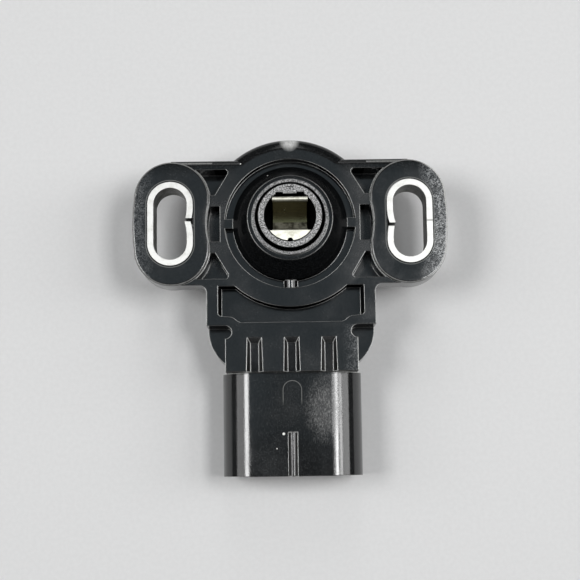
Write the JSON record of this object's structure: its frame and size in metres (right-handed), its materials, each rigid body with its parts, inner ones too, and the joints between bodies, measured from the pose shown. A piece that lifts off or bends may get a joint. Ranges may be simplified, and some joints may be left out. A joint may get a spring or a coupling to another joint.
{
  "type": "throttle position sensor",
  "caption": "Rotary throttle position sensor: moulded body with slotted ears, sprung drive rotor in a conical collar and a blade connector.",
  "frame": {"origin": "rotor axis in the mounting plane, which is the plane of the two bush tops", "axes": "+Z along the rotor axis, out of the mounting side; +Y away from the connector; the slots lie along X"},
  "size_m": [0.052, 0.0559, 0.0223],
  "materials": {
    "housing_plastic": "satin black glass-filled moulding",
    "bush_steel": "bare bright steel",
    "rotor_plastic": "matte speckled grey",
    "spring_steel": "bright stainless strip",
    "seal_rubber": "matt",
    "board": "glass fibre laminate",
    "carbon_ink": "printed carbon ink",
    "tinned_brass": "tinned",
    "solder": "bright",
    "cover_plastic": "satin black moulding"
  },
  "bodies": {
    "root": {"housing": "housing_plastic", "bush_left": "bush_steel", "bush_right": "bush_steel", "rotor_seal": "seal_rubber", "wave_washer": "spring_steel", "resistor_board": "board", "carbon_tracks": "carbon_ink", "terminal_supply": "tinned_brass", "terminal_signal": "tinned_brass", "terminal_ground": "tinned_brass", "solder_joints": "solder", "cover_seal": "seal_rubber", "back_cover": "cover_plastic"},
    "rotor": {"rotor": "rotor_plastic", "rotor_clip": "spring_steel", "wiper": "spring_steel"}
  },
  "joints": [
    {"name": "rotor_turn", "type": "hinge", "parent": "root", "child": "rotor", "pos_m": [0, 0, 0], "axis": [0, 0, 1], "range_deg": [0, 100]}
  ]
}
